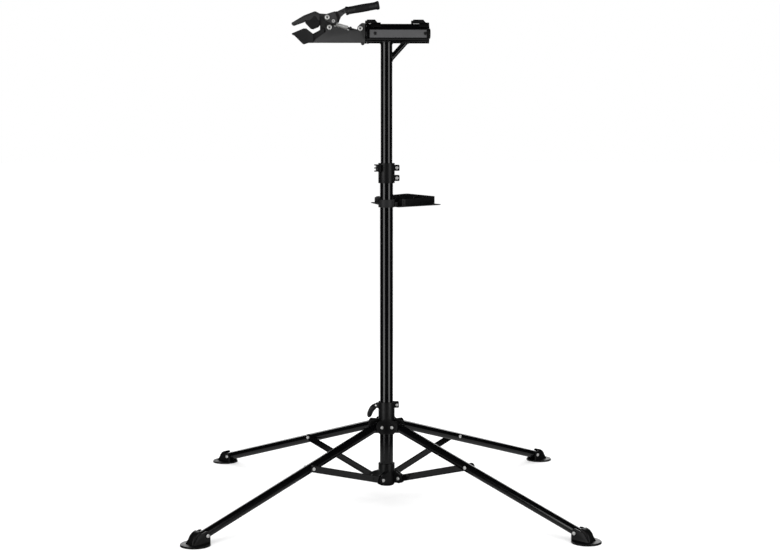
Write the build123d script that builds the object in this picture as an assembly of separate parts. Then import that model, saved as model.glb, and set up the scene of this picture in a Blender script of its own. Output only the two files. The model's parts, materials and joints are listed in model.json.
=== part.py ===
from build123d import *
import os
from math import asin, atan2, cos, degrees, hypot, radians, sin

# Folding bike repair stand, in millimetres. Origin on the floor under the mast,
# +Z up along the mast, +X along the head tube away from the clamp, -Y the front.

# ---- driving dimensions --------------------------------------------------
RUNNING_GAP = 0.06          # radial gap of a pin or shaft in its hole
MOVING_GAP = 0.4            # gap between bodies that slide past each other

MAST_R = 19.0               # lower mast tube, outside
MAST_WALL = 1.5
MAST_BOTTOM_Z = 44.0
MAST_TOP_Z = 950.0
UPPER_R = 17.1              # upper mast tube, outside
UPPER_WALL = 1.6
UPPER_BOTTOM_Z = 560.0

# Leg linkage. Both hubs carry their pivots at one radius, and each brace is as
# long as the stretch of leg above it, so every leg and brace stay mirror images
# of each other while the upper hub rises straight up the mast.
PIVOT_R = 37.0
LOWER_PIVOT_Z = 59.5
UPPER_PIVOT_Z = 210.5
FOOT_PIVOT_R = 682.0
FOOT_PIVOT_Z = 22.0
HUB_PIVOT_DROP = 2.5        # hub bolt below the centreline of the leg tube
BRACE_PIVOT_RISE = 2.0      # brace bolt above the centreline of the leg tube
LEG_R = 12.5
LEG_WALL = 1.5
LEG_INNER_END = 6.0         # tube beyond the hub bolt
LEG_OUTER_END = 8.0         # tube beyond the foot bolt
LEG_BOLT_R = 3.0
LEG_BOLT_HEAD_R = 4.8
# name: (azimuth in degrees, side that the bolt heads face)
LEGS = {
    "front_left": (225.0, 1),
    "front_right": (315.0, -1),
    "back_right": (45.0, -1),
    "back_left": (135.0, 1),
}
BRACE_HEIGHT = 19.0
BRACE_NEAR = 13.0           # brace faces, measured sideways from the leg's plane
BRACE_FAR = 18.5
HUB_R = 23.5
HUB_BORE_R = MAST_R + MOVING_GAP + 0.1
EAR_NEAR = 12.9             # upper hub and foot ears, from the leg's plane
EAR_FAR = 16.1
LOWER_HUB_BOTTOM_Z = 38.5
LOWER_HUB_TOP_Z = 101.0
UPPER_HUB_BOTTOM_Z = 188.0
UPPER_HUB_TOP_Z = 279.0

FOOT_R = 39.0
FOOT_OFFSET = 27.0          # centre of the sole outboard of the foot bolt
FOOT_THICKNESS = 4.8
HOOD_CENTRE = (16.0, 3.5)   # side view, from the foot bolt and the floor
HOOD_RADII = (29.0, 33.0)
HOOD_HALF = 12.9
HOOD_START = 19.0

COLLAR_R = 23.75
COLLAR_BOTTOM_Z = 907.0
COLLAR_TOP_Z = 964.0
COLLAR_BOLT_X = 29.5
COLLAR_BOLTS_Z = (921.5, 950.5)
HUB_BOLT_X = 29.5
HUB_BOLT_Z = 270.5
HUB_LEVER_AZIMUTH = 163.0
HUB_LEVER_PIVOT = (29.5, 268.0)
LOCK_LEVER_PIVOT = (29.5, 16.4)

TRAY_AZIMUTH = 43.0
TRAY_TILT = 3.0
TRAY_Z = 838.0
TRAY_U = (32.0, 163.0)      # box along and across its own direction
TRAY_V = (-38.0, 80.0)
TRAY_HEIGHT = 23.0
TRAY_WALL = 2.4
TRAY_RING_R = 23.4
TRAY_BOLT_X = -28.3

HEAD_Z = 1331.5
HEAD_R = 27.75
HEAD_BORE_R = 22.35
HEAD_X = (-50.2, 113.4)
HEAD_FLAT_Y = 24.3
HEAD_SCREWS_X = (-32.4, 109.2)
SHAFT_R = 15.0
FLANGE_X = -61.8
FLANGE_FACE_X = -56.2
STRUT_R = 8.0
STRUT_ANGLE = 48.0
STRUT_FOOT_Z = 1247.0
LATCH_PIVOT_Y = 8.0
LATCH_PIVOT_Z = 1364.8
LATCHES = {"left": (-61.3, -25.0), "right": (69.5, 112.0)}

# Clamp pivots in the X-Z plane
JAW_PIVOT = (-161.7, 1348.0)
HANDLE_PIVOT = (-167.9, 1376.2)
LINK_PIVOT = (-150.5, 1365.8)
REAR_PIVOT = (-74.6, 1344.8)
ARM_HALF = 19.0             # half width over the arm's side plates
ARM_PLATE = 3.0
JAW_HALF = 23.0             # half width of both jaws
JAW_PLATES = (12.6, 15.5)
HANDLE_PLATES = (16.0, 18.6)
CLAMP_BOLT_R = 4.0
CLAMP_HEAD_R = 7.0
BARREL_DROP = 7.3           # adjuster axis below the line through its pivots
BARREL_SPAN = (9.0, 44.5)   # along that line, from the handle end
BARREL_R = 6.5
ROD_R = 3.5
GRIP_START = (-116.3, 1395.0)
GRIP_ANGLE = 10.1
GRIP_LENGTH = 97.5
GRIP_R = 11.2
GRIP_END_R = 12.4

nodes = {}


# ---- shape helpers -------------------------------------------------------
def profile_xz(points):
    """Closed face through (x, z) points in the X-Z plane."""
    return make_face(Polyline(*[(x, 0, z) for x, z in points], close=True))


def slab(face, y_low, y_high):
    """Solid between two Y planes over a face that lies in the X-Z plane."""
    return extrude(Pos(0, y_low, 0) * face, amount=y_high - y_low, dir=(0, 1, 0))


def mirror_slabs(face, near, far):
    """Two equal plates, one each side of the Y=0 plane."""
    return slab(face, near, far) + slab(face, -far, -near)


def rod_x(y, z, radius, x_low, x_high):
    return Pos((x_low + x_high) / 2, y, z) * Rot(0, 90, 0) * Cylinder(radius, x_high - x_low)


def rod_y(x, z, radius, y_low, y_high):
    return Pos(x, (y_low + y_high) / 2, z) * Rot(90, 0, 0) * Cylinder(radius, y_high - y_low)


def rod_z(x, y, radius, z_low, z_high):
    return Pos(x, y, (z_low + z_high) / 2) * Cylinder(radius, z_high - z_low)


def block(x_low, x_high, y_low, y_high, z_low, z_high):
    size = (x_high - x_low, y_high - y_low, z_high - z_low)
    return Pos((x_low + x_high) / 2, (y_low + y_high) / 2, (z_low + z_high) / 2) * Box(*size)


def button_bolt(shank_r, head_r, grip, head_h=3.2, nut=True):
    """Bolt along +Y: head above y=0, shank and nut below it, as separate solids."""
    head = Pos(0, 0, head_h / 2) * Cylinder(head_r, head_h)
    head = fillet(head.edges().group_by(Axis.Z)[-1], head_h * 0.55)
    head -= Pos(0, 0, head_h) * extrude(RegularPolygon(head_r * 0.42, 6), amount=-head_h * 0.55)
    nut_h = shank_r * 1.5
    tail = nut_h + 1.0 if nut else 0.0
    shank = Pos(0, 0, -(grip + tail) / 2) * Cylinder(shank_r, grip + tail)
    solids = [head + shank]
    if nut:
        hexagon = extrude(RegularPolygon(shank_r * 1.95, 6), amount=nut_h)
        hexagon -= Cylinder(shank_r + RUNNING_GAP, 3 * nut_h)
        solids.append(Pos(0, 0, -grip - nut_h - 0.05) * hexagon)
    return [Rot(-90, 0, 0) * solid for solid in solids]


def bolt_at(x, z, near, far, side, shank_r, head_r, **options):
    """Button bolt along Y through near..far, with its head on the given side."""
    turn = Rot(0, 0, 0) if side > 0 else Rot(0, 0, 180)
    face = far if side > 0 else -near
    made = button_bolt(shank_r, head_r, far - near, **options)
    return [Pos(x, 0, z) * turn * Pos(0, face, 0) * solid for solid in made]


def keep(name, *solids):
    flat = []
    for solid in solids:
        flat += list(solid.solids())
    nodes[name] = flat[0] if len(flat) == 1 else Compound(children=flat)


# ---- leg linkage geometry ------------------------------------------------
leg_span = hypot(FOOT_PIVOT_R - PIVOT_R, UPPER_PIVOT_Z - FOOT_PIVOT_Z)
LEG_SLOPE = atan2(UPPER_PIVOT_Z - FOOT_PIVOT_Z, FOOT_PIVOT_R - PIVOT_R)
LEG_SLOPE += asin(HUB_PIVOT_DROP / leg_span)
LEG_LENGTH = leg_span * cos(asin(HUB_PIVOT_DROP / leg_span))
BRACE_PIVOT_Z = (UPPER_PIVOT_Z + LOWER_PIVOT_Z) / 2
BRACE_RISE = HUB_PIVOT_DROP + BRACE_PIVOT_RISE
BRACE_ALONG = (UPPER_PIVOT_Z - BRACE_PIVOT_Z + BRACE_RISE * cos(LEG_SLOPE)) / sin(LEG_SLOPE)
BRACE_PIVOT_R = PIVOT_R + BRACE_ALONG * cos(LEG_SLOPE) + BRACE_RISE * sin(LEG_SLOPE)
BRACE_LENGTH = hypot(BRACE_PIVOT_R - PIVOT_R, BRACE_PIVOT_Z - LOWER_PIVOT_Z)
BRACE_SLOPE = atan2(BRACE_PIVOT_Z - LOWER_PIVOT_Z, BRACE_PIVOT_R - PIVOT_R)


def leg_tube():
    """Leg with +X as its outward direction, before it is turned to its azimuth."""
    start, end = -LEG_INNER_END, LEG_LENGTH + LEG_OUTER_END
    tube = rod_x(0, HUB_PIVOT_DROP, LEG_R, start, end)
    tube -= rod_x(0, HUB_PIVOT_DROP, LEG_R - LEG_WALL, start - 1, end + 1)
    for along, up in ((0, 0), (BRACE_ALONG, BRACE_RISE), (LEG_LENGTH, HUB_PIVOT_DROP)):
        tube -= rod_y(along, up, LEG_BOLT_R + RUNNING_GAP, -LEG_R - 1, LEG_R + 1)
    return Pos(PIVOT_R, 0, UPPER_PIVOT_Z) * Rot(0, degrees(LEG_SLOPE), 0) * tube


def leg_bolts(side):
    """Foot bolt and brace bolt of one leg."""
    sizes = (side, LEG_BOLT_R, LEG_BOLT_HEAD_R)
    foot = bolt_at(FOOT_PIVOT_R, FOOT_PIVOT_Z, -EAR_FAR - 0.3, EAR_FAR + 0.3, *sizes)
    brace = bolt_at(BRACE_PIVOT_R, BRACE_PIVOT_Z, -LEG_R - 0.1, BRACE_FAR + 0.2, *sizes)
    return foot + brace


def brace_bar():
    half = BRACE_HEIGHT / 2
    width = BRACE_FAR - BRACE_NEAR
    outline = SlotCenterToCenter(BRACE_LENGTH, BRACE_HEIGHT)
    bar = Pos(BRACE_LENGTH / 2, BRACE_NEAR, 0) * Rot(-90, 0, 0) * extrude(outline, amount=width)
    bar = chamfer(bar.edges().filter_by(GeomType.LINE).filter_by(Axis.X), 0.9)
    groove = Rot(-90, 0, 0) * extrude(SlotCenterToCenter(BRACE_LENGTH * 0.72, half), amount=1.2)
    bar -= Pos(BRACE_LENGTH / 2, BRACE_FAR - 1.2, 0) * groove
    for x in (0, BRACE_LENGTH):
        bar -= rod_y(x, 0, LEG_BOLT_R + RUNNING_GAP, 0, 30)
    return Pos(PIVOT_R, 0, LOWER_PIVOT_Z) * Rot(0, -degrees(BRACE_SLOPE), 0) * bar


def foot_pad():
    """Round sole with two ears for the leg bolt and a narrower dome over the toe."""
    hx, hz = HOOD_CENTRE
    sole = Cylinder(FOOT_R, FOOT_THICKNESS)
    sole = fillet(sole.edges().group_by(Axis.Z)[-1], 2.0)
    sole = Pos(FOOT_OFFSET, 0, FOOT_THICKNESS / 2) * sole
    face = Pos(hx, 0, hz) * Rot(90, 0, 0) * Ellipse(*HOOD_RADII)
    dome = slab(face, -HOOD_HALF, HOOD_HALF)
    dome = fillet(dome.edges(), 4.5)
    inner = Pos(hx, 0, hz) * Rot(90, 0, 0) * Ellipse(HOOD_RADII[0] - 3, HOOD_RADII[1] - 3)
    dome -= slab(inner, 3 - HOOD_HALF, HOOD_HALF - 3)
    hood = dome & block(HOOD_START, 80, -20, 20, FOOT_THICKNESS - 1, 60)
    ear = [(-10, 3), (-9.5, 26), (-3, 33.5), (4, 34), (28, 28), (46, 5), (46, 3)]
    foot = sole + hood + mirror_slabs(profile_xz(ear), EAR_NEAR, EAR_FAR)
    foot -= rod_y(0, FOOT_PIVOT_Z, LEG_BOLT_R + RUNNING_GAP, -30, 30)
    return Pos(FOOT_PIVOT_R, 0, 0) * foot


# ---- base and legs -------------------------------------------------------
def make_lower_hub():
    hub = rod_z(0, 0, HUB_R, LOWER_HUB_BOTTOM_Z, LOWER_HUB_TOP_Z)
    hub = chamfer(hub.edges().group_by(Axis.Z)[0], 4.0)
    ear_r = 13.5
    ear = slab(Pos(PIVOT_R, 0, LOWER_PIVOT_Z) * Rot(90, 0, 0) * Circle(ear_r), 0, 3.1)
    web = profile_xz([(3, 81), (24, 80), (PIVOT_R + 4, LOWER_PIVOT_Z + 12.8),
                      (PIVOT_R + 4, LOWER_PIVOT_Z - 12.8), (3, LOWER_PIVOT_Z - 14.5)])
    ear += slab(web, 0, 3.1)
    hole = rod_y(PIVOT_R, LOWER_PIVOT_Z, LEG_BOLT_R + RUNNING_GAP, -1, 30)
    pair = Pos(0, BRACE_NEAR - 3.4, 0) * ear + Pos(0, BRACE_FAR + 0.3, 0) * ear - hole
    bolts = []
    for azimuth, side in LEGS.values():
        turn = Rot(0, 0, azimuth)
        hub += turn * pair
        made = bolt_at(PIVOT_R, LOWER_PIVOT_Z, BRACE_NEAR - 3.5, BRACE_FAR + 3.5, side,
                       LEG_BOLT_R, LEG_BOLT_HEAD_R, nut=False)
        bolts += [turn * bolt for bolt in made]
    hub -= rod_z(0, 0, MAST_R + 0.05, MAST_BOTTOM_Z - 0.05, 200)
    keep("lower_hub", hub)
    keep("lower_hub_bolts", *bolts)


def make_upper_hub():
    hub = rod_z(0, 0, HUB_R, UPPER_HUB_BOTTOM_Z, UPPER_HUB_TOP_Z)
    ear = profile_xz([(14, 230), (49, 228), (55.5, 221), (57, 214), (56, 205), (40, 191), (14, 188)])
    pair = mirror_slabs(ear, EAR_NEAR, EAR_FAR)
    pair -= rod_y(PIVOT_R, UPPER_PIVOT_Z, LEG_BOLT_R + RUNNING_GAP, -30, 30)
    bolts = []
    for azimuth, side in LEGS.values():
        turn = Rot(0, 0, azimuth)
        hub += turn * pair
        made = bolt_at(PIVOT_R, UPPER_PIVOT_Z, -EAR_FAR - 0.1, EAR_FAR + 0.1, side,
                       LEG_BOLT_R, LEG_BOLT_HEAD_R, head_h=3.0, nut=False)
        bolts += [turn * bolt for bolt in made]
    lug = block(20, 35.5, -8, 8, 262, 279) - rod_y(HUB_BOLT_X, HUB_BOLT_Z, 2.56, -20, 20)
    hub += fillet(lug.edges().filter_by(Axis.Y), 2.5)
    px, pz = HUB_LEVER_PIVOT
    fork = profile_xz([(20, pz - 9), (px + 4, pz - 5), (px + 6, pz), (px + 4, pz + 5), (20, pz + 9)])
    hub += Rot(0, 0, HUB_LEVER_AZIMUTH) * mirror_slabs(fork, 6.1, 9.0)
    hub -= Rot(0, 0, HUB_LEVER_AZIMUTH) * rod_y(px, pz, 2.5 + RUNNING_GAP, -20, 20)
    hub -= rod_z(0, 0, HUB_BORE_R, 100, 300)
    hub -= block(15, 40, -1.4, 1.4, 254, 300)
    keep("upper_hub", hub)
    keep("upper_hub_bolts", *bolts)
    keep("hub_clamp_bolt", *bolt_at(HUB_BOLT_X, HUB_BOLT_Z, -8.05, 8.05, -1, 2.5, 3.9, head_h=2.8))
    pin = rod_y(px, pz, 2.5, -9.2, 9.2)
    keep("hub_lever_pin", Rot(0, 0, HUB_LEVER_AZIMUTH) * pin)


def make_hub_lever():
    """Bowed cam lever that hangs beside the hub when it is locked."""
    px, pz = HUB_LEVER_PIVOT
    side = [(px, pz + 5.3), (36, 271.6), (42, 269), (47.5, 263.5), (51.4, 256), (54.4, 249.5), (56, 243),
            (55.8, 236), (53, 232.4), (48.8, 231.6), (45.8, 236), (42.6, 244), (38.6, 250),
            (34, 254), (px - 1, pz - 5.2)]
    crescent = profile_xz(side)
    cheeks = slab(crescent, -7.6, 7.6) & block(31, 70, -20, 20, 200, 300)
    cheeks -= rod_y(px, pz, 8.2, -20, 20)
    lever = slab(crescent, -5.6, 5.6) + cheeks + rod_y(px, pz, 5.4, -5.6, 5.6)
    lever -= rod_y(px, pz, 2.5 + RUNNING_GAP, -20, 20)
    keep("hub_lever", Rot(0, 0, HUB_LEVER_AZIMUTH) * lever)


def make_legs():
    tube, bar, pad = leg_tube(), brace_bar(), foot_pad()
    for name, (azimuth, side) in LEGS.items():
        turn = Rot(0, 0, azimuth)
        keep(f"leg_{name}", turn * tube)
        keep(f"leg_bolts_{name}", *[turn * bolt for bolt in leg_bolts(side)])
        keep(f"brace_{name}", turn * bar)
        keep(f"foot_{name}", turn * pad)


# ---- mast ----------------------------------------------------------------
def make_mast():
    lower = rod_z(0, 0, MAST_R, MAST_BOTTOM_Z, MAST_TOP_Z)
    lower -= rod_z(0, 0, MAST_R - MAST_WALL, MAST_BOTTOM_Z - 1, MAST_TOP_Z + 1)
    keep("lower_mast_tube", lower)
    upper = rod_z(0, 0, UPPER_R, UPPER_BOTTOM_Z, HEAD_Z)
    upper -= rod_z(0, 0, UPPER_R - UPPER_WALL, UPPER_BOTTOM_Z - 1, HEAD_Z + 1)
    upper -= rod_x(0, HEAD_Z, HEAD_R + 0.05, -60, 60)
    keep("upper_mast_tube", upper)
    plug = rod_z(0, 0, UPPER_R - 0.1, UPPER_BOTTOM_Z - 3, UPPER_BOTTOM_Z)
    plug += rod_z(0, 0, UPPER_R - UPPER_WALL - 0.05, UPPER_BOTTOM_Z, UPPER_BOTTOM_Z + 14)
    keep("upper_mast_plug", plug)


def make_mast_collar():
    collar = rod_z(0, 0, COLLAR_R, COLLAR_BOTTOM_Z, COLLAR_TOP_Z)
    for z in COLLAR_BOLTS_Z:
        lug = block(20, 37, -9, 9, z - 8.5, z + 8.5)
        collar += fillet(lug.edges().filter_by(Axis.Y), 2.5)
        collar -= rod_y(COLLAR_BOLT_X, z, 2.5 + RUNNING_GAP, -20, 20)
    collar -= rod_z(0, 0, MAST_R + 0.05, 900, MAST_TOP_Z + 0.1)
    collar -= rod_z(0, 0, UPPER_R + MOVING_GAP + 0.05, 900, 970)
    collar -= block(15, 40, -1.5, 1.5, 900, 970)
    keep("mast_collar", collar)
    low, high = COLLAR_BOLTS_Z
    keep("collar_bolt", *bolt_at(COLLAR_BOLT_X, low, -9.05, 9.05, -1, 2.5, 4.5))
    draw = bolt_at(COLLAR_BOLT_X, high, -9.05, LOCK_LEVER_PIVOT[1], -1, 2.5, 4.5, nut=False)[0]
    draw += rod_z(*LOCK_LEVER_PIVOT, 2.5, high - 7.6, high + 7.6)
    keep("collar_draw_bolt", draw)


def make_collar_lever():
    """Cam lever that wraps round the back of the collar to a ribbed thumb end at its front."""
    px, py = LOCK_LEVER_PIVOT
    z = COLLAR_BOLTS_Z[1]
    ring = rod_z(0, 0, 31.2, z - 8.2, z + 8.2) - rod_z(0, 0, 27.8, z - 20, z + 20)
    wedge = make_face(Polyline((0, 0), (60, 37), (60, 80), (-60, 80), (-60, -80), close=True))
    lever = ring & Pos(0, 0, z - 20) * extrude(wedge, amount=40)
    lever += rod_z(px, py, 6.6, z - 8.2, z + 8.2)
    lever -= rod_z(px, py, 9.0, z - 3.0, z + 3.0)
    lever -= rod_z(px, py, 2.5 + RUNNING_GAP, z - 20, z + 20)
    lever += block(-27, -16.6, -29, -19.2, z - 10.4, z + 10.4)
    for step in (-8.8, 0, 8.8):
        lever += block(-35.5, -26, -25, -17, z + step - 1.6, z + step + 1.6)
    keep("collar_lever", lever)


# ---- tray ----------------------------------------------------------------
def make_tray():
    u0, u1 = TRAY_U
    v0, v1 = TRAY_V
    top = TRAY_Z + TRAY_HEIGHT
    place = Rot(0, 0, TRAY_AZIMUTH)
    tilt = Pos(0, 0, TRAY_Z + 10) * Rot(TRAY_TILT, 0, 0) * Pos(0, 0, -TRAY_Z - 10)
    tray = block(u0, u1, v0, v1, TRAY_Z + 2.1, top)
    tray = fillet(tray.edges().filter_by(Axis.Z), 7.0)
    rows = 3
    pitch = (v1 - v0 - TRAY_WALL) / rows
    split = u0 + (u1 - u0) * 0.62
    for row in range(rows):
        low = v0 + TRAY_WALL + row * pitch
        ends = [(u0 + TRAY_WALL, split), (split + TRAY_WALL, u1 - TRAY_WALL)]
        if row == 1:
            ends = [(u0 + TRAY_WALL, u1 - TRAY_WALL)]
        for a, b in ends:
            pocket = block(a, b, low, low + pitch - TRAY_WALL, TRAY_Z + 2.1 + TRAY_WALL, top + 5)
            tray -= fillet(pocket.edges().filter_by(Axis.Z), 5.0)
    keep("tray_box", tilt * place * tray)
    plate = make_face(Polyline((20, -30), (u1 - 14, v0 - 26), (u1 - 4, v0 - 24), (u1 - 2, v1 + 6),
                               (56, v1 + 38), (50, v1 + 36), (20, 40), close=True))
    plate = tilt * place * Pos(0, 0, TRAY_Z) * extrude(plate, amount=2.0)
    ring = rod_z(0, 0, TRAY_RING_R, TRAY_Z, TRAY_Z + 22)
    ear = block(-34, -17, -7, 7, TRAY_Z + 10, TRAY_Z + 29)
    ear = fillet(ear.edges().filter_by(Axis.Y), 3.0)
    arm = place * block(18, 30, -16, 22, TRAY_Z + 0.4, TRAY_Z + 14)
    bracket = plate + ring + ear + arm
    bracket -= rod_z(0, 0, MAST_R + 0.35, 800, 900)
    bracket -= block(-40, -15, -1.2, 1.2, 800, 900)
    bracket -= rod_y(TRAY_BOLT_X, TRAY_Z + 20, 2.56, -20, 20)
    keep("tray_bracket", bracket)
    keep("tray_bolt", *bolt_at(TRAY_BOLT_X, TRAY_Z + 20, -7.05, 7.05, -1, 2.5, 4.4, head_h=2.6))


# ---- head ----------------------------------------------------------------
def make_head():
    x0, x1 = HEAD_X
    tube = rod_x(0, HEAD_Z, HEAD_R, x0, x1)
    tube &= block(x0 - 1, x1 + 1, -HEAD_FLAT_Y, HEAD_FLAT_Y, HEAD_Z - 40, HEAD_Z + 40)
    tube -= rod_x(0, HEAD_Z, HEAD_BORE_R, x0 - 1, x1 + 1)
    screws = []
    for x in HEAD_SCREWS_X:
        tube -= rod_y(x, HEAD_Z, 2.6, -40, 0)
        screws += bolt_at(x, HEAD_Z, -HEAD_FLAT_Y - 0.05, -17.5, -1, 2.5, 4.3, head_h=2.2, nut=False)
    keep("head_tube", tube)
    keep("head_screws", *screws)
    bush_r = HEAD_BORE_R - 0.05
    bore_r = SHAFT_R + RUNNING_GAP
    front = rod_x(0, HEAD_Z, bush_r, x0, x0 + 26) - rod_x(0, HEAD_Z, bore_r, x0 - 1, x0 + 27)
    rear = rod_x(0, HEAD_Z, bush_r, x1 - 33, x1 - 14) - rod_x(0, HEAD_Z, bore_r, x1 - 34, x1)
    front -= rod_y(HEAD_SCREWS_X[0], HEAD_Z, 2.56, -40, 0)
    keep("head_bushes", front, rear)
    ring = rod_x(0, HEAD_Z, HEAD_R, x1 + 0.1, x1 + 7.6) + rod_x(0, HEAD_Z, bush_r, x1 - 13, x1 + 1)
    ring -= rod_x(0, HEAD_Z, SHAFT_R + 1.5, x1 - 20, x1 + 20)
    for index in range(8):
        notch = block(x1 + 3.6, x1 + 10, -3.6, 3.6, 22.5, 32)
        ring -= Pos(0, 0, HEAD_Z) * Rot(22.5 + 45 * index, 0, 0) * notch
    ring -= rod_y(HEAD_SCREWS_X[1], HEAD_Z, 2.56, -40, 0)
    keep("head_end_ring", ring)
    collar = rod_x(0, HEAD_Z, 28.9, FLANGE_FACE_X + 0.5, x0 - 0.05)
    collar -= rod_x(0, HEAD_Z, SHAFT_R + 0.4, -70, -40)
    keep("head_front_collar", collar)
    length = (HEAD_Z - STRUT_FOOT_Z) / sin(radians(STRUT_ANGLE))
    strut = Cylinder(STRUT_R, length) - Cylinder(STRUT_R - 1.5, length + 2)
    strut = Rot(0, 90 - STRUT_ANGLE, 0) * Pos(0, 0, length / 2) * strut
    strut = Pos(0, 0, STRUT_FOOT_Z) * strut
    strut -= rod_z(0, 0, UPPER_R + 0.05, 1200, 1340)
    strut -= rod_x(0, HEAD_Z, HEAD_R + 0.05, -10, 160)
    keep("head_strut", strut.solids().sort_by(SortBy.VOLUME)[-1])


def make_latches():
    """Two over-centre latches on the head tube: saddle, pin and lever each."""
    saddles, pins = [], []
    for name, (x0, x1) in LATCHES.items():
        top = profile_xz([(x0, 1361.2), (x0 + 6.5, 1370.5), (x1 - 8, 1370.5), (x1, 1361.2)])
        lever = slab(top, -15, 3.4)
        strap = rod_x(0, HEAD_Z, 31.6, x1 - 20, x1 + 8.6)
        strap -= rod_x(0, HEAD_Z, HEAD_R + 0.5, x1 - 30, x1 + 20)
        lever += strap & block(x1 - 30, x1 + 20, -40, 1, HEAD_Z + 17.5, HEAD_Z + 40)
        lever += rod_x(LATCH_PIVOT_Y, LATCH_PIVOT_Z, 4.4, x0 + 6.4, x1 - 12.4)
        lever += block(x0 + 6.4, x1 - 12.4, 2, 8, 1362, 1369)
        lever -= rod_x(LATCH_PIVOT_Y, LATCH_PIVOT_Z, 2 + RUNNING_GAP, x0 - 5, x1 + 5)
        keep(f"latch_lever_{name}", lever)
        saddle = block(x0 + 1, x1 - 7, LATCH_PIVOT_Y - 4, LATCH_PIVOT_Y + 7, 1348, 1359.6)
        for x in (x0 + 1, x1 - 12):
            saddle += rod_x(LATCH_PIVOT_Y, LATCH_PIVOT_Z, 4.2, x, x + 5)
            saddle += block(x, x + 5, LATCH_PIVOT_Y - 4, LATCH_PIVOT_Y + 7, 1355, 1362)
        saddle -= rod_x(0, HEAD_Z, HEAD_R + 0.05, x0 - 5, x1 + 5)
        saddle -= rod_x(0, HEAD_Z, 29.2, -70, HEAD_X[0] + 0.1)
        saddle -= rod_x(LATCH_PIVOT_Y, LATCH_PIVOT_Z, 2.02, x0 - 5, x1 + 5)
        saddles.append(saddle)
        pins.append(rod_x(LATCH_PIVOT_Y, LATCH_PIVOT_Z, 2.0, x0 + 0.6, x1 - 6.6))
    keep("latch_saddles", *saddles)
    keep("latch_pins", *pins)


# ---- clamp ---------------------------------------------------------------
def make_arm():
    flange = rod_x(0, HEAD_Z, 28.6, FLANGE_X, FLANGE_FACE_X)
    flange = fillet(flange.edges(), 1.2) - rod_x(0, HEAD_Z, SHAFT_R + 0.03, -80, -50)
    keep("arm_flange", flange)
    end = HEAD_X[1] + 4.0
    shaft = rod_x(0, HEAD_Z, SHAFT_R, FLANGE_X + 0.2, end) - rod_x(0, HEAD_Z, 12, -70, end + 1)
    keep("arm_shaft", shaft)
    cap = rod_x(0, HEAD_Z, 14.5, end + 0.05, end + 7.5)
    cap = fillet(cap.edges().group_by(Axis.X)[-1], 2.5) + rod_x(0, HEAD_Z, 11.95, end - 11, end + 0.05)
    keep("shaft_end_cap", cap)
    side = [(FLANGE_X - 0.05, 1306), (-208, 1306), (-202, 1314), (-172, 1335.5), (-172, 1347),
            (-168.5, 1353), (-162.7, 1355.5), (-155, 1353.5), (-146, 1351), (-130, 1346),
            (-114, 1340.5), (-84, 1340), (-82.5, 1349), (-77, 1355.5), (-70, 1360.5),
            (FLANGE_X - 0.05, 1360.5)]
    plates = mirror_slabs(profile_xz(side), ARM_HALF - ARM_PLATE, ARM_HALF)
    arm = plates + block(-208, FLANGE_X - 0.05, -ARM_HALF, ARM_HALF, 1306, 1309)
    arm += rod_y(FLANGE_X - 5.6, 1304.6, 5.5, -12, 12)
    for x, z in (JAW_PIVOT, REAR_PIVOT):
        arm -= rod_y(x, z, CLAMP_BOLT_R + RUNNING_GAP, -30, 30)
    keep("arm_channel", arm)
    grip = ARM_HALF + 0.1
    bolts = []
    for x, z in (JAW_PIVOT, REAR_PIVOT):
        bolts += bolt_at(x, z, -grip, grip, -1, CLAMP_BOLT_R, CLAMP_HEAD_R, head_h=4.6)
    keep("arm_bolts", *bolts)


def make_lower_jaw():
    front = [(-267.5, 1328.6), (-262, 1326.4), (-239, 1303.5), (-234.8, 1301.7), (-222, 1306),
             (-208.2, 1306), (-208.2, 1328.2), (-226.8, 1341.6), (-235.6, 1341.6)]
    rear = [(-208.2, 1309.2), (-206, 1309.2), (-178, 1330), (-176.5, 1340), (-179, 1343),
            (-190.6, 1336.6), (-208.2, 1327.2)]
    jaw = slab(profile_xz(front), -JAW_HALF, JAW_HALF) + slab(profile_xz(rear), -15.8, 15.8)
    jaw += block(-188.5, -176, -12, 12, 1334, 1354.5) + block(-180, -168.5, -12, 12, 1331, 1345.5)
    keep("lower_jaw", jaw)
    front_pad = [(-268, 1331), (-268, 1329), (-235.6, 1341.8), (-226.8, 1341.8), (-208.4, 1328.5),
                 (-208.4, 1330.5), (-226.4, 1344.6), (-236, 1344.6)]
    rear_pad = [(-208.4, 1328.6), (-207.6, 1328.1), (-190.6, 1337.2), (-188.6, 1338.3),
                (-188.6, 1341.1), (-191.4, 1339.6), (-208.4, 1330.5)]
    pad = slab(profile_xz(front_pad), -JAW_HALF + 1.5, JAW_HALF - 1.5)
    pad += slab(profile_xz(rear_pad), -14.8, 14.8)
    keep("lower_jaw_pad", pad)


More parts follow.
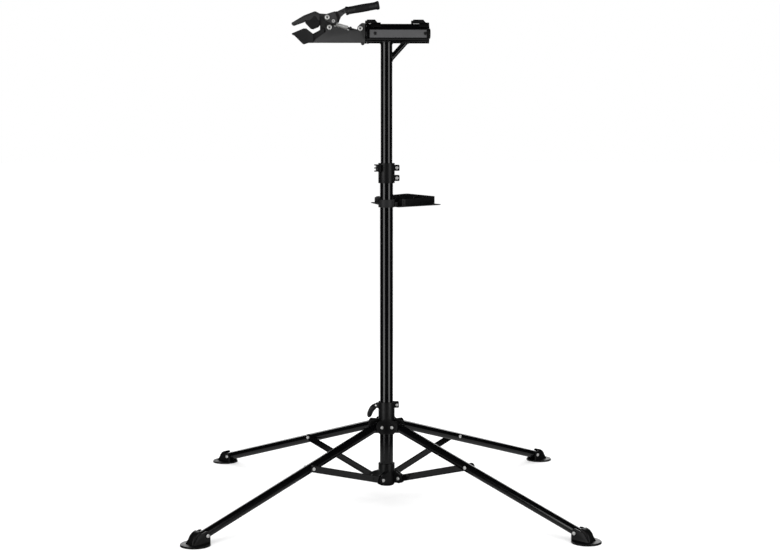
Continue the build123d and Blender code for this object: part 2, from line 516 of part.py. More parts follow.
def make_upper_jaw():
    shell = [(-269, 1357.2), (-267.5, 1361), (-234, 1381), (-204.5, 1392.4), (-199.5, 1392.4),
             (-190, 1387.4), (-190, 1367.3), (-231.5, 1367.3), (-231.5, 1365.2), (-263.5, 1354)]
    ax, az = HANDLE_PIVOT
    cx, cz = JAW_PIVOT
    cheek = [(-205, 1367.3), (-205, 1391), (-190, 1387.4), (ax - 2, az + 9.8), (ax + 5, az + 8.4),
             (ax + 9.8, az + 1), (cx + 8.4, cz + 2), (cx + 6.5, cz - 5.5), (cx, cz - 8.6),
             (cx - 6.5, cz - 6), (-189.8, 1355), (-189.8, 1367.3)]
    jaw = slab(profile_xz(shell), -JAW_HALF, JAW_HALF)
    jaw -= block(-206, -180, -JAW_HALF + 4, JAW_HALF - 4, 1372, 1385)
    jaw += mirror_slabs(profile_xz(cheek), *JAW_PLATES)
    for x, z in (HANDLE_PIVOT, JAW_PIVOT):
        jaw -= rod_y(x, z, CLAMP_BOLT_R + RUNNING_GAP, -30, 30)
    keep("upper_jaw", jaw)
    pad = [(-230, 1367.2), (-230, 1361), (-216, 1346), (-208.4, 1344), (-193.4, 1350), (-190, 1354.6),
           (-190, 1367.2)]
    keep("upper_jaw_pad", slab(profile_xz(pad), -JAW_HALF + 1.5, JAW_HALF - 1.5))
    reach = HANDLE_PLATES[1] + 0.3
    keep("handle_bolt", *bolt_at(ax, az, -reach, reach, -1, CLAMP_BOLT_R, CLAMP_HEAD_R, head_h=4.6))


def make_handle():
    ax, az = HANDLE_PIVOT
    bx, bz = LINK_PIVOT
    plate = [(ax - 9.8, az + 2), (ax - 6, az + 8.4), (-147.5, 1393), (-141, 1391.5), (-134.5, 1377),
             (-135.5, 1364.2), (-139, 1363.2), (bx + 6.5, bz - 6), (bx, bz - 8.2), (bx - 7, bz - 5.5),
             (ax - 6, az - 8), (ax - 9.4, az - 3)]
    web = [(-146, 1392), (-141, 1393), (-133.8, 1378), (-134.8, 1364), (-138.2, 1363.6), (-139.8, 1375)]
    shank = [(-141, 1393.2), (-118.5, 1404), (-111, 1401.5), (-113, 1390.5), (-119.5, 1387.5),
             (-129, 1378.5), (-134.5, 1366)]
    handle = mirror_slabs(profile_xz(plate), *HANDLE_PLATES)
    handle += slab(profile_xz(web), -HANDLE_PLATES[1], HANDLE_PLATES[1])
    handle += slab(profile_xz(shank), -7, 7)
    handle -= rod_y(ax, az, CLAMP_BOLT_R + RUNNING_GAP, -30, 30)
    handle -= rod_y(bx, bz, 3.0 + RUNNING_GAP, -30, 30)
    handle -= rod_y(-123, 1392.6, 2.2, 4.5, 9) + rod_y(-123, 1392.6, 2.2, -9, -4.5)
    along_grip = Pos(GRIP_START[0], 0, GRIP_START[1]) * Rot(0, -GRIP_ANGLE, 0)
    handle += along_grip * rod_x(0, 0, 5.0, -4, GRIP_LENGTH - 6)
    keep("handle", handle)
    grip = rod_x(0, 0, GRIP_R, 0, GRIP_LENGTH)
    for start in (0, GRIP_LENGTH - 9):
        grip += fillet(rod_x(0, 0, GRIP_END_R, start, start + 9).edges(), 1.6)
    grip -= rod_x(0, 0, 5.05, -10, GRIP_LENGTH - 5.9)
    grip = along_grip * grip - slab(profile_xz(shank), -7.1, 7.1)
    keep("handle_grip", grip)
    rivets = []
    for side in (-1, 1):
        rivet = rod_y(bx, bz, 3.0, 14.8, 19.8) + rod_y(bx, bz, 4.6, 18.65, 19.8)
        rivet -= rod_y(bx, bz, 1.7, 14, 21)
        rivets.append(rivet if side > 0 else mirror(rivet, Plane.XZ))
    keep("handle_rivets", *rivets)


def make_link():
    """Adjustable link in its own frame: +X from the handle end to the rear bolt."""
    bx, bz = LINK_PIVOT
    dx, dz = REAR_PIVOT
    length = hypot(dx - bx, dz - bz)
    tilt = degrees(atan2(bz - dz, dx - bx))
    place = Pos(bx, 0, bz) * Rot(0, tilt, 0)
    s0, s1 = BARREL_SPAN
    drop = -BARREL_DROP
    front = rod_y(0, 0, 6.2, -9, 9) + block(-5.5, 6, -6, 6, drop - 4.5, 0)
    front += rod_x(0, drop, ROD_R, 0, s0 + 13)
    keep("link_eye", place * front)
    rear = rod_y(length, 0, 5.9, -7.5, 7.5) + block(length - 5.5, length + 4.5, -6, 6, drop - 4.5, 0)
    rear += rod_x(0, drop, ROD_R, s1 - 13, length - 4)
    rear -= rod_y(length, 0, CLAMP_BOLT_R + RUNNING_GAP, -20, 20)
    keep("link_fork", place * rear)
    nut = Rot(0, 90, 0) * extrude(RegularPolygon(6.4, 6), amount=6) - rod_x(0, 0, ROD_R + 0.04, -10, 10)
    keep("link_lock_nut", place * Pos(s1 + 4, 0, drop) * nut)
    barrel = rod_x(0, drop, BARREL_R, s0, s1)
    barrel = chamfer(barrel.edges(), 0.8)
    barrel -= rod_x(0, drop, ROD_R + 0.08, s0 - 1, s1 + 1)
    for start in (s0 + 6, s1 - 8):
        barrel -= rod_x(0, drop, BARREL_R + 1, start, start + 2) - rod_x(0, drop, BARREL_R - 0.6, 0, 60)
    keep("adjuster_barrel", place * barrel)


make_mast()
make_lower_hub()
make_upper_hub()
make_hub_lever()
make_legs()
make_mast_collar()
make_collar_lever()
make_tray()
make_head()
make_latches()
make_arm()
make_lower_jaw()
make_upper_jaw()
make_handle()
make_link()

os.makedirs("parts", exist_ok=True)
for name, shape in nodes.items():
    export_step(shape, f"parts/{name}.step")
print(len(nodes), "nodes; brace", round(BRACE_LENGTH, 2), "mm at", round(degrees(BRACE_SLOPE), 3),
      "deg; brace bolt at", round(BRACE_PIVOT_R, 2), round(BRACE_PIVOT_Z, 2))
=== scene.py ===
import json
import math

import bmesh
import bpy
from mathutils import Matrix, Vector


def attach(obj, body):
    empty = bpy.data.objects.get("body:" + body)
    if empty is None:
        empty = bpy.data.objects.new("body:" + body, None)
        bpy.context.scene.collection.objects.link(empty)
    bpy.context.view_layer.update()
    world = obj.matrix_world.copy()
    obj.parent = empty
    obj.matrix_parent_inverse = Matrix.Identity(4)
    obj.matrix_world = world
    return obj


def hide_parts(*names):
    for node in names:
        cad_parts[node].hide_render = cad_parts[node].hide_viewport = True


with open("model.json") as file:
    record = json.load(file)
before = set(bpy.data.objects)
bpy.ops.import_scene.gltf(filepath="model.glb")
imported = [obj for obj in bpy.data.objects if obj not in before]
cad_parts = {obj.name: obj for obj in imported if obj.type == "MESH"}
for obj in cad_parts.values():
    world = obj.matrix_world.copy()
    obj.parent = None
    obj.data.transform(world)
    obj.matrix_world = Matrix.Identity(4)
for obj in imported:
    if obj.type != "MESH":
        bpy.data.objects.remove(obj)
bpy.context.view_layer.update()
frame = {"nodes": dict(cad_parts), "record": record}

# A folding bike repair stand, in metres, in the part's own frame: +Z up the mast, -Y the front.
MM = 0.001
BODIES = frame["record"]["behaviour"]["bodies"]
BODY_OF = {node: body for body, members in BODIES.items() for node in members}
SLOT_OF = {part["node"]: part["material_slot"] for part in frame["record"]["subparts"]}
LEG_AZIMUTHS = {"front_left": 225, "front_right": 315, "back_right": 45, "back_left": 135}

MAST_R, HEAD_R, STRUT_R = 17.1, 27.75, 8.0
HEAD_Z, STRUT_FOOT_Z, STRUT_ANGLE = 1331.5, 1247.0, math.radians(48)
LEG_HUB_PIVOT = (37.0, 210.5)
LEG_FOOT_PIVOT = (682.0, 22.0)
LEG_DROP = 2.5
LINK_PIVOT, REAR_PIVOT = (-150.5, 1365.8), (-74.6, 1344.8)
JAW_PIVOT, HANDLE_PIVOT = (-161.7, 1348.0), (-167.9, 1376.2)
BARREL_DROP, BARREL_SPAN, BARREL_R, ROD_R = 7.3, (9.0, 44.5), 6.5, 3.5
GRIP_START, GRIP_ANGLE = (-116.3, 1395.0), math.radians(10.1)
HEAD_ENDS, HEAD_FLAT_Y, HEAD_SCREWS_X, FLANGE_X = (-50.2, 113.4), 24.3, (-32.4, 109.2), -61.8
SCREW_HOLE_R = 3.9
LEG_OUTER_END = 8.0
JAW_HALF = 21.5
BOLT_SEATS = {"clamp_arm": (19.1, (JAW_PIVOT, REAR_PIVOT)), "upper_jaw": (18.9, (HANDLE_PIVOT,))}
SOCKET_R, SOCKET_RISE = 2.75, 2.07     # hexagon half width, its floor above the bolt's seat


# ---- materials ------------------------------------------------------------
def surface(name, base, rough, metallic=0.0, specular=0.5, tint=0.25, tint_scale=14.0,
            rough_spread=0.08, grain=900.0, grain_depth=0.02, cells=False, wear=0.0,
            wear_colour=(0.2, 0.2, 0.2), stretch=(1, 1, 1)):
    """A finish with uneven colour, uneven gloss, fine surface grain and, if asked, worn edges."""
    material = bpy.data.materials.new(name)
    material.use_nodes = True
    tree = material.node_tree
    tree.nodes.clear()
    add, link = tree.nodes.new, tree.links.new
    out, shader = add("ShaderNodeOutputMaterial"), add("ShaderNodeBsdfPrincipled")
    link(shader.outputs["BSDF"], out.inputs["Surface"])
    shader.inputs["Metallic"].default_value = metallic
    shader.inputs["Specular IOR Level"].default_value = specular
    coords, mapping = add("ShaderNodeTexCoord"), add("ShaderNodeMapping")
    mapping.inputs["Scale"].default_value = stretch
    link(coords.outputs["Object"], mapping.inputs["Vector"])

    def noise(scale, detail):
        node = add("ShaderNodeTexNoise")
        node.inputs["Scale"].default_value = scale
        node.inputs["Detail"].default_value = detail
        link(mapping.outputs["Vector"], node.inputs["Vector"])
        return node.outputs["Fac"]

    ramp = add("ShaderNodeValToRGB")
    ramp.color_ramp.elements[0].position, ramp.color_ramp.elements[1].position = 0.3, 0.7
    ramp.color_ramp.elements[0].color = [c * (1 - tint) for c in base] + [1]
    ramp.color_ramp.elements[1].color = [c * (1 + tint) for c in base] + [1]
    link(noise(tint_scale, 5.0), ramp.inputs["Fac"])
    colour = ramp.outputs["Color"]
    if wear:
        geometry, edge = add("ShaderNodeNewGeometry"), add("ShaderNodeValToRGB")
        edge.color_ramp.elements[0].position, edge.color_ramp.elements[1].position = 0.53, 0.62
        edge.color_ramp.elements[0].color = (0, 0, 0, 1)
        edge.color_ramp.elements[1].color = (wear, wear, wear, 1)
        mix = add("ShaderNodeMixRGB")
        mix.inputs["Color2"].default_value = (*wear_colour, 1)
        link(geometry.outputs["Pointiness"], edge.inputs["Fac"])
        link(edge.outputs["Color"], mix.inputs["Fac"])
        link(colour, mix.inputs["Color1"])
        colour = mix.outputs["Color"]
    link(colour, shader.inputs["Base Color"])

    gloss = add("ShaderNodeMapRange")
    gloss.inputs["To Min"].default_value = rough - rough_spread
    gloss.inputs["To Max"].default_value = rough + rough_spread
    link(noise(tint_scale * 6, 6.0), gloss.inputs["Value"])
    link(gloss.outputs["Result"], shader.inputs["Roughness"])

    bump = add("ShaderNodeBump")
    bump.inputs["Strength"].default_value = 0.6
    bump.inputs["Distance"].default_value = grain_depth * MM
    if cells:
        voronoi = add("ShaderNodeTexVoronoi")
        voronoi.inputs["Scale"].default_value = grain
        link(mapping.outputs["Vector"], voronoi.inputs["Vector"])
        link(voronoi.outputs["Distance"], bump.inputs["Height"])
    else:
        link(noise(grain, 3.0), bump.inputs["Height"])
    link(bump.outputs["Normal"], shader.inputs["Normal"])
    return material


FINISH = {
    "black_gloss_paint": surface("powder_coat_gloss", (0.0014, 0.0014, 0.0016), 0.13, grain=160,
                                 grain_depth=0.0006, tint=0.3, rough_spread=0.03),
    "black_plastic": surface("moulded_black", (0.0032, 0.0032, 0.0034), 0.38, specular=0.24, cells=True,
                             grain=1300, grain_depth=0.02, tint=0.3, wear=0.12,
                             wear_colour=(0.03, 0.03, 0.03)),
    "grey_black_paint": surface("powder_coat_grey", (0.022, 0.022, 0.0225), 0.46, specular=0.35,
                                grain=900, grain_depth=0.012, wear=0.25, wear_colour=(0.1, 0.1, 0.1)),
    "satin_black_paint": surface("powder_coat_jaw", (0.0085, 0.0085, 0.009), 0.5, specular=0.24,
                                 grain=900, grain_depth=0.012, wear=0.25, wear_colour=(0.06, 0.06, 0.06)),
    "jaw_rubber": surface("jaw_rubber", (0.006, 0.006, 0.0065), 0.6, specular=0.22, cells=True,
                          grain=1600, grain_depth=0.03, tint=0.3),
    "grip_rubber": surface("grip_rubber", (0.008, 0.008, 0.0085), 0.45, specular=0.3, cells=True,
                           grain=1500, grain_depth=0.025),
    "bright_fasteners": surface("zinc_plate", (0.68, 0.68, 0.67), 0.34, metallic=0.65, grain=1500,
                                grain_depth=0.006, tint=0.08, tint_scale=120),
    "black_fasteners": surface("black_oxide", (0.008, 0.008, 0.0085), 0.4, specular=0.35, grain=1800,
                               grain_depth=0.01, tint_scale=150),
    "silver_steel": surface("turned_steel", (0.62, 0.62, 0.61), 0.34, metallic=0.6, grain=700,
                            grain_depth=0.008, tint=0.08, tint_scale=90, stretch=(1, 1, 6)),
}
# Painted highlight: the head's front panel is lighter grey than the black paint, standing in for the light
# band on the front flat.
HEAD_PANEL_PAINTED_HIGHLIGHT = surface("head_panel_painted_highlight", (0.062, 0.062, 0.064), 0.4, specular=0.4, grain=500,
                     grain_depth=0.008, tint=0.12)


# ---- mesh helpers ---------------------------------------------------------
def settle(name, bm, body, slot_name, replaced=(), smooth_angle=38, finish=None):
    """Turns a bmesh into a finished piece that rides on a body."""
    bmesh.ops.recalc_face_normals(bm, faces=bm.faces)
    mesh = bpy.data.meshes.new(name)
    bm.to_mesh(mesh)
    bm.free()
    for layer in [a.name for a in mesh.attributes if a.name == "custom_normal"]:
        mesh.attributes.remove(mesh.attributes[layer])
    mesh.shade_smooth()
    mesh.set_sharp_from_angle(angle=math.radians(smooth_angle))
    mesh.materials.clear()
    mesh.materials.append(finish or FINISH[slot_name])
    piece = bpy.data.objects.new(name, mesh)
    bpy.context.scene.collection.objects.link(piece)
    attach(piece, body)
    if replaced:
        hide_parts(*replaced)
    return piece


def eased(node, width, angle=32):
    """The CAD node's own shape with its sharp edges rounded over."""
    bm = bmesh.new()
    bm.from_mesh(frame["nodes"][node].data)
    bmesh.ops.remove_doubles(bm, verts=bm.verts, dist=2e-6)
    bmesh.ops.dissolve_limit(bm, angle_limit=math.radians(0.5), verts=bm.verts, edges=bm.edges)
    sharp = [e for e in bm.edges if len(e.link_faces) == 2 and e.calc_face_angle(0) > math.radians(angle)]
    bmesh.ops.bevel(bm, geom=sharp, offset=width * MM, offset_type="OFFSET", segments=2, profile=0.6,
                    affect="EDGES", clamp_overlap=True)
    return settle(f"{node}_eased", bm, BODY_OF[node], SLOT_OF[node], (node,))


def revolve(bm, profile, place, steps=48):
    """Adds a closed turned shape: (along, radius) in mm round the X axis of place."""
    rings = []
    for along, radius in profile:
        ring = []
        for k in range(steps):
            a = 2 * math.pi * k / steps
            ring.append(bm.verts.new(place @ Vector((along, radius * math.cos(a), radius * math.sin(a)))))
        rings.append(ring)
    for low, high in zip(rings, rings[1:]):
        for k in range(steps):
            bm.faces.new((low[k], low[(k + 1) % steps], high[(k + 1) % steps], high[k]))
    bm.faces.new(rings[0])
    bm.faces.new(list(reversed(rings[-1])))
    return rings


def sweep(bm, path, radius, closed=True, sides=8, ripple=0.0, pitch=1.0):
    """Adds a tube along points in mm; ripple makes the scales of a weld bead."""
    count = len(path)
    rings, travelled = [], 0.0
    for i, point in enumerate(path):
        before = path[i - 1] if closed or i else path[0]
        after = path[(i + 1) % count] if closed or i < count - 1 else path[-1]
        along = (after - before).normalized()
        side = along.orthogonal() if i == 0 else (last - along * last.dot(along))
        side.normalize()
        last = side
        up = along.cross(side)
        travelled += (point - path[i - 1]).length if i else 0.0
        wide = radius * (1 + ripple * math.sin(2 * math.pi * travelled / pitch))
        ring = []
        for k in range(sides):
            a = 2 * math.pi * k / sides
            ring.append(bm.verts.new((point + (side * math.cos(a) + up * math.sin(a)) * wide) * MM))
        rings.append(ring)
    pairs = list(zip(rings, rings[1:]))
    if closed:
        offset = min(range(sides), key=lambda s: (rings[-1][0].co - rings[0][s].co).length)
        pairs.append((rings[-1], rings[0][offset:] + rings[0][:offset]))
    else:
        bm.faces.new(rings[0])
        bm.faces.new(list(reversed(rings[-1])))
    for low, high in pairs:
        for k in range(sides):
            bm.faces.new((low[k], low[(k + 1) % sides], high[(k + 1) % sides], high[k]))


def extruded(bm, outline, y_low, y_high, ease=0.0):
    """Adds an X-Z outline in mm stretched along Y, its ends drawn in by ease."""
    centre = Vector((sum(p[0] for p in outline), 0, sum(p[1] for p in outline))) / len(outline)
    layers = [(y_low, ease), (y_low + ease, 0), (y_high - ease, 0), (y_high, ease)] if ease else \
        [(y_low, 0), (y_high, 0)]
    rings = []
    for y, inset in layers:
        ring = []
        for x, z in outline:
            flat = Vector((x, 0, z)) - centre
            flat = centre + flat * (1 - inset / max(flat.length, 1))
            ring.append(bm.verts.new(Vector((flat.x, y, flat.z)) * MM))
        rings.append(ring)
    for low, high in zip(rings, rings[1:]):
        for k in range(len(outline)):
            n = (k + 1) % len(outline)
            bm.faces.new((low[k], low[n], high[n], high[k]))
    bm.faces.new(rings[0])
    bm.faces.new(list(reversed(rings[-1])))


def ridged(points, runs, pitch=3.2, depth=0.7):
    """The outline with saw ridges cut into the runs that start at the listed points."""
    made = []
    for i, start in enumerate(points):
        made.append(start)
        if i not in runs:
            continue
        end = points[(i + 1) % len(points)]
        dx, dz = end[0] - start[0], end[1] - start[1]
        length = math.hypot(dx, dz)
        steps = max(1, round(length / pitch))
        inward = (-dz / length * depth * runs[i], dx / length * depth * runs[i])
        for k in range(steps):
            for share, deep in ((0.3, 0), (0.45, 1), (0.75, 1), (0.9, 0)):
                t = (k + share) / steps
                made.append((start[0] + dx * t + inward[0] * deep, start[1] + dz * t + inward[1] * deep))
    return made


def line_place(x, z, tilt):
    """Frame whose X runs up at tilt in the X-Z plane from a point, scaled from mm to metres."""
    turn = Matrix.Rotation(-tilt, 4, "Y")
    return Matrix.Translation(Vector((x, 0, z)) * MM) @ turn @ Matrix.Scale(MM, 4)


# ---- CAD nodes kept as they are -------------------------------------------
for node_name, node in frame["nodes"].items():
    node.data.materials.clear()
    node.data.materials.append(FINISH[SLOT_OF[node_name]])

EASED = {
    0.6: ["lower_hub", "upper_hub", "mast_collar", "tray_box", "lower_jaw", "upper_jaw", "head_end_ring"],
    0.4: ["arm_channel", "handle", "tray_bracket", "hub_lever", "collar_lever", "latch_lever_left",
          "latch_lever_right", "latch_saddles", "link_eye", "link_fork", "head_front_collar"],
}
for name in LEG_AZIMUTHS:
    EASED[0.6].append(f"foot_{name}")
for edge_width, members in EASED.items():
    for member in members:
        eased(member, edge_width)


# ---- welds ----------------------------------------------------------------
def mast_head_seam(step):
    y = MAST_R * math.sin(step)
    return Vector((MAST_R * math.cos(step), y, HEAD_Z - math.sqrt(HEAD_R ** 2 - y * y)))


def strut_seam(step, against_head):
    y, rise = STRUT_R * math.sin(step), STRUT_R * math.cos(step)
    if against_head:
        z = HEAD_Z - math.sqrt(HEAD_R ** 2 - y * y)
        along = (z - STRUT_FOOT_Z - rise * math.cos(STRUT_ANGLE)) / math.sin(STRUT_ANGLE)
    else:
        along = (math.sqrt(MAST_R ** 2 - y * y) + rise * math.sin(STRUT_ANGLE)) / math.cos(STRUT_ANGLE)
    return Vector((along * math.cos(STRUT_ANGLE) - rise * math.sin(STRUT_ANGLE), y,
                   STRUT_FOOT_Z + along * math.sin(STRUT_ANGLE) + rise * math.cos(STRUT_ANGLE)))


def seam_path(point_at, count=96):
    return [point_at(2 * math.pi * k / count) for k in range(count)]


welds = bmesh.new()
sweep(welds, seam_path(mast_head_seam), 2.3, ripple=0.12, pitch=3.4)
sweep(welds, seam_path(lambda a: strut_seam(a, True)), 1.7, ripple=0.12, pitch=3.0)
sweep(welds, seam_path(lambda a: strut_seam(a, False)), 1.7, ripple=0.12, pitch=3.0)
settle("head_welds", welds, "upper_mast", "black_gloss_paint", smooth_angle=60)

flange_welds = bmesh.new()
for side in (-1, 1):
    run = [Vector((FLANGE_X - 0.4, side * 19.2, 1308 + 0.8 * k)) for k in range(62)]
    sweep(flange_welds, run, 1.3, closed=False, ripple=0.12, pitch=2.6)
settle("flange_welds", flange_welds, "clamp_arm", "grey_black_paint", smooth_angle=60)


# ---- head panel with painted highlight and handle web with painted shade ---
def raised_panel(bm, x_low, x_high, z_low, z_high, y, lift, ease, holes):
    """Adds a thin plate standing off an X-Z face, with eased edges and round holes round screws."""
    flat_half = (z_high - z_low) / 2
    middle = (z_high + z_low) / 2
    columns = [x_low, x_low + ease]
    for x in holes:
        columns += [x + SCREW_HOLE_R * (k / 8 - 1) for k in range(17)]
    columns += [x_high - ease, x_high]
    for sign in (1, -1):
        previous = None
        for x in sorted(columns):
            edge = flat_half - (ease if x in (x_low, x_high) else 0)
            open_to = 0.0
            for hole in holes:
                open_to = max(open_to, math.sqrt(max(0.0, SCREW_HOLE_R ** 2 - (x - hole) ** 2)))
            rows = [(open_to, y - 0.02), (open_to, y - lift), (edge - ease, y - lift),
                    (edge - ease / 3, y - lift * 0.7), (edge, y - 0.02)]
            ring = [bm.verts.new(Vector((x, depth, middle + sign * away)) * MM) for away, depth in rows]
            if previous:
                for low, high in zip(zip(previous, previous[1:]), zip(ring, ring[1:])):
                    bm.faces.new((low[0], low[1], high[1], high[0]))
            previous = ring
    bmesh.ops.remove_doubles(bm, verts=bm.verts, dist=2e-6)


# The front panel carries the painted highlight colour, not the head's own black.
panel = bmesh.new()
raised_panel(panel, HEAD_ENDS[0] + 2.2, HEAD_ENDS[1] - 0.2, HEAD_Z - 12.4, HEAD_Z + 9.8, -HEAD_FLAT_Y, 0.5,
             0.9, HEAD_SCREWS_X)
settle("head_front_panel", panel, "upper_mast", "black_gloss_paint", smooth_angle=30, finish=HEAD_PANEL_PAINTED_HIGHLIGHT)

# Painted shade: a black sheet on each side of the handle over the web, where the bent channel lies in
# shadow.
WEB_SHADE_OUTLINE = [(-146.4, 1391.6), (-141.4, 1393.6), (-133.6, 1378.2), (-134.4, 1363.6), (-138.6, 1363.2),
       (-140.2, 1375)]
for side in (-1, 1):
    band = bmesh.new()
    low, high = sorted((side * 18.65, side * 19.3))
    extruded(band, WEB_SHADE_OUTLINE, low, high, ease=0.2)
    settle(f"handle_web_painted_shade_{'front' if side < 0 else 'back'}", band, "handle", "black_plastic")


# ---- leg tube plugs -------------------------------------------------------
leg_span = math.hypot(LEG_FOOT_PIVOT[0] - LEG_HUB_PIVOT[0], LEG_HUB_PIVOT[1] - LEG_FOOT_PIVOT[1])
leg_slope = math.atan2(LEG_HUB_PIVOT[1] - LEG_FOOT_PIVOT[1], LEG_FOOT_PIVOT[0] - LEG_HUB_PIVOT[0])
leg_slope += math.asin(LEG_DROP / leg_span)
PLUG = [(9, 10.7), (0.2, 10.9), (0.05, 12.3), (-0.9, 12.3), (-1.4, 11.6), (-1.4, 8.6), (-0.7, 8.0),
        (-0.7, 0.6)]
for name, azimuth in LEG_AZIMUTHS.items():
    turn = Matrix.Rotation(math.radians(azimuth), 4, "Z")
    hub_end = Matrix.Translation(Vector((LEG_HUB_PIVOT[0], 0, LEG_HUB_PIVOT[1])) * MM)
    axis = turn @ hub_end @ Matrix.Rotation(leg_slope, 4, "Y") @ Matrix.Scale(MM, 4)
    plugs = bmesh.new()
    revolve(plugs, PLUG, axis @ Matrix.Translation((-6, 0, LEG_DROP)))
    outer_end = axis @ Matrix.Translation((leg_span + LEG_OUTER_END, 0, LEG_DROP))
    revolve(plugs, PLUG, outer_end @ Matrix.Rotation(math.pi, 4, "Z"))
    settle(f"leg_plugs_{name}", plugs, f"leg_{name}", "black_plastic")


# ---- handle grip ----------------------------------------------------------
GRIP_R, GROOVE_R, GRIP_SWELL, GROOVE_PITCH, GROOVES = 11.15, 10.7, 0.3, 2.6, 7


def grooves(start):
    made = []
    for x in (start + GROOVE_PITCH * k for k in range(GROOVES)):
        made += [(x, GRIP_R), (x + 0.5, GROOVE_R), (x + 1.2, GROOVE_R), (x + 1.7, GRIP_R)]
    return made


profile = [(0.0, 7.0), (0.2, 11.2), (1.2, 12.2), (4.0, 12.4), (6.8, 12.1), (8.2, 11.3)] + grooves(9.5)
for k in range(12):
    share = k / 11
    profile.append((29 + 38.5 * share, GRIP_R + GRIP_SWELL * math.sin(math.pi * share)))
profile += grooves(69.5)
profile += [(88.1, 11.3), (89.5, 12.1), (92.5, 12.4), (95.1, 12.2), (96.7, 11.2), (97.4, 9.0), (97.5, 2.0)]
grip = bmesh.new()
revolve(grip, profile, line_place(*GRIP_START, GRIP_ANGLE), steps=64)
settle("handle_grip_ribbed", grip, "handle", "grip_rubber", ("handle_grip",), smooth_angle=50)


# ---- jaw pads, painted shade on the upper jaw and painted shade in the bolt sockets ---
FRONT_PAD = [(-268, 1331), (-268, 1329), (-235.6, 1341.8), (-226.8, 1341.8), (-208.4, 1328.5),
             (-208.4, 1330.5), (-226.4, 1344.6), (-236, 1344.6)]
REAR_PAD = [(-208.4, 1328.6), (-207.6, 1328.1), (-190.6, 1337.2), (-188.6, 1338.3), (-188.6, 1341.1),
            (-191.4, 1339.6), (-208.4, 1330.5)]
UPPER_PAD = [(-230, 1367.2), (-230, 1361), (-216, 1346), (-208.4, 1344), (-193.4, 1350), (-190, 1354.6),
             (-190, 1367.2)]
lower_pad = bmesh.new()
extruded(lower_pad, ridged(FRONT_PAD, {5: 1, 7: 1}), -JAW_HALF, JAW_HALF, ease=0.5)
extruded(lower_pad, ridged(REAR_PAD, {5: 1}), -14.8, 14.8, ease=0.4)
settle("lower_jaw_pad_ridged", lower_pad, "clamp_arm", "jaw_rubber", ("lower_jaw_pad",), smooth_angle=25)
upper_pad = bmesh.new()
extruded(upper_pad, ridged(UPPER_PAD, {1: 1, 3: 1}), -JAW_HALF, JAW_HALF, ease=0.5)
settle("upper_jaw_pad_ridged", upper_pad, "upper_jaw", "jaw_rubber", ("upper_jaw_pad",), smooth_angle=25)

# Painted shade: a dark sheet on each side of the upper jaw, shaped as the arch above the pad, where the
# jaw's inner hollow lies in shadow.
JAW_SHADE_OUTLINE = [(-219.5, 1366.4), (-215.5, 1368.6), (-205.4, 1379.2), (-202, 1379.6), (-198.2, 1376.4),
            (-192.6, 1366.4)]
for side in (-1, 1):
    fill = bmesh.new()
    low, high = sorted((side * 22.95, side * 23.5))
    extruded(fill, JAW_SHADE_OUTLINE, low, high, ease=0.2)
    settle(f"upper_jaw_painted_shade_{'front' if side < 0 else 'back'}", fill, "upper_jaw", "jaw_rubber")

# Painted shade: a black hexagon on the floor of each bolt's hex socket, where the recess falls into shadow.
for body, (seat, pivots) in BOLT_SEATS.items():
    sockets = bmesh.new()
    floor_y = -seat - SOCKET_RISE
    for x, z in pivots:
        corners = [(x + SOCKET_R * math.cos(math.pi * k / 3), z + SOCKET_R * math.sin(math.pi * k / 3))
                   for k in range(6)]
        extruded(sockets, corners, floor_y - 0.35, floor_y - 0.02, ease=0.1)
    settle(f"bolt_socket_painted_shade_{body}", sockets, body, "black_fasteners")


# ---- adjuster -------------------------------------------------------------
link_tilt = -math.atan2(LINK_PIVOT[1] - REAR_PIVOT[1], REAR_PIVOT[0] - LINK_PIVOT[0])
rod_line = line_place(*LINK_PIVOT, link_tilt) @ Matrix.Translation((0, 0, -BARREL_DROP))
barrel = bmesh.new()
near, far = BARREL_SPAN
rows = [(near, BARREL_R - 0.9), (near + 0.8, BARREL_R - 0.1)]
knurl_from, knurl_to, knurl_step = near + 8.5, far - 10.5, 0.75
count = int((knurl_to - knurl_from) / knurl_step)
rows += [(near + 6, BARREL_R - 0.1), (near + 6.2, BARREL_R - 0.7), (near + 7.9, BARREL_R - 0.7)]
rows += [(knurl_from + k * knurl_step, BARREL_R - 0.1) for k in range(count + 1)]
rows += [(far - 8, BARREL_R - 0.7), (far - 6.2, BARREL_R - 0.7), (far - 6, BARREL_R - 0.1),
         (far - 0.8, BARREL_R - 0.1), (far, BARREL_R - 0.9)]
rings = revolve(barrel, rows, rod_line, steps=72)
for index, ring in enumerate(rings[5:6 + count]):
    for k, vert in enumerate(ring):
        if (k + index) % 4 < 2 and (k - index) % 4 < 2:
            continue
        centre = rod_line @ Vector((rows[5 + index][0], 0, 0))
        vert.co = centre + (vert.co - centre) * (1 - 0.35 / BARREL_R)
settle("adjuster_barrel_knurled", barrel, "adjuster", "silver_steel", ("adjuster_barrel",), smooth_angle=20)

threads = bmesh.new()
for low, high in ((far + 0.6, far + 3.7), (far + 10.3, 68.0)):
    turns = high - low
    steps = int(turns * 20)
    helix = []
    for k in range(steps + 1):
        a = 2 * math.pi * turns * k / steps
        helix.append(Vector((low + (high - low) * k / steps, ROD_R * math.cos(a), ROD_R * math.sin(a))))
    to_mm = Matrix.Scale(1000, 4) @ rod_line
    sweep(threads, [to_mm @ p for p in helix], 0.32, closed=False, sides=6)
settle("adjuster_threads", threads, "link", "grey_black_paint", smooth_angle=60)


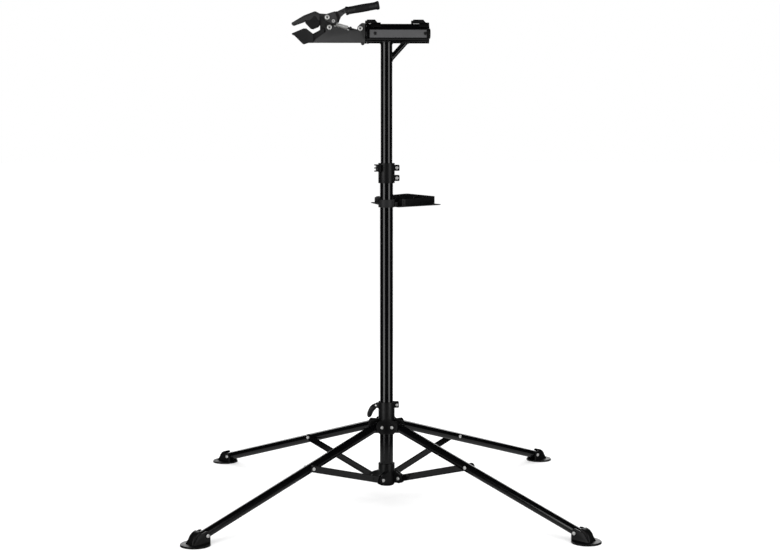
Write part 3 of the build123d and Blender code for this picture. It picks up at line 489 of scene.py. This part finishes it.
# ---- stage, light and camera ----------------------------------------------
def stage_floor(name, inner, outer, glow, mirrored):
    """A pale ring of floor, or, when mirrored, a dim ring that shows only in glossy surfaces."""
    steps, z = 96, -0.0004
    verts = []
    for radius in (inner, outer):
        verts += [(radius * math.cos(2 * math.pi * k / steps), radius * math.sin(2 * math.pi * k / steps), z)
                  for k in range(steps)]
    faces = [(k, (k + 1) % steps, steps + (k + 1) % steps, steps + k) for k in range(steps)]
    mesh = bpy.data.meshes.new(name)
    mesh.from_pydata(verts, [], faces)
    mesh.flip_normals()
    material = bpy.data.materials.new(name)
    material.use_nodes = True
    shader = material.node_tree.nodes["Principled BSDF"]
    tone = 0.0 if mirrored else 0.86
    shader.inputs["Base Color"].default_value = (tone, tone, tone, 1)
    shader.inputs["Roughness"].default_value = 0.9
    shader.inputs["Specular IOR Level"].default_value = 0.0
    shader.inputs["Emission Color"].default_value = (1, 1, 1, 1)
    shader.inputs["Emission Strength"].default_value = glow
    mesh.materials.append(material)
    floor = bpy.data.objects.new(name, mesh)
    bpy.context.scene.collection.objects.link(floor)
    floor.visible_glossy = mirrored
    floor.visible_camera = not mirrored
    floor.visible_diffuse = not mirrored
    floor.visible_shadow = not mirrored


def softbox(name, place, aim, width, height, radiance):
    data = bpy.data.lights.new(name, "AREA")
    data.shape = "RECTANGLE"
    data.size, data.size_y = width, height
    data.energy = radiance * math.pi * width * height
    lamp = bpy.data.objects.new(name, data)
    lamp.location = place
    lamp.rotation_mode = "QUATERNION"
    lamp.rotation_quaternion = (Vector(aim) - Vector(place)).to_track_quat("-Z", "Y")
    lamp.visible_camera = False
    bpy.context.scene.collection.objects.link(lamp)


stage_floor("studio_floor", 0.0005, 40.0, 0.16, False)
stage_floor("floor_sheen", 0.2, 0.72, 0.36, True)
softbox("key_left", (-2.1, -2.0, 0.95), (0, 0, 0.85), 1.55, 2.7, 3.0)
softbox("key_right", (2.1, -2.0, 0.95), (0, 0, 0.85), 1.4, 2.7, 2.9)
softbox("low_left", (-1.7, -2.1, 0.0), (0, 0, 0.1), 1.2, 0.3, 0.6)
softbox("low_right", (1.7, -2.1, 0.0), (0, 0, 0.1), 1.2, 0.3, 0.6)
softbox("back_left", (-1.25, 2.6, 1.0), (0, 0, 0.8), 1.0, 2.6, 2.6)
softbox("back_right", (1.25, 2.6, 1.0), (0, 0, 0.8), 1.0, 2.6, 2.6)

world = bpy.data.worlds.new("studio")
world.use_nodes = True
world.node_tree.nodes["Background"].inputs["Color"].default_value = (1, 1, 1, 1)
world.node_tree.nodes["Background"].inputs["Strength"].default_value = 1.0
world.cycles_visibility.glossy = False
bpy.context.scene.world = world
bpy.context.scene.view_settings.view_transform = "Standard"

CAMERA_AZIMUTH = 0.0279     # radians, to the left of straight ahead
CAMERA_PITCH = 0.0495
lens = bpy.data.cameras.new("camera")
lens.lens = 72.64
lens.shift_y = -0.096
lens.clip_end = 100
camera = bpy.data.objects.new("camera", lens)
camera.location = (-0.1152, -4.4864, 1.0748)
camera.rotation_euler = (math.pi / 2 - CAMERA_PITCH, 0, -CAMERA_AZIMUTH)
bpy.context.scene.collection.objects.link(camera)
bpy.context.scene.camera = camera
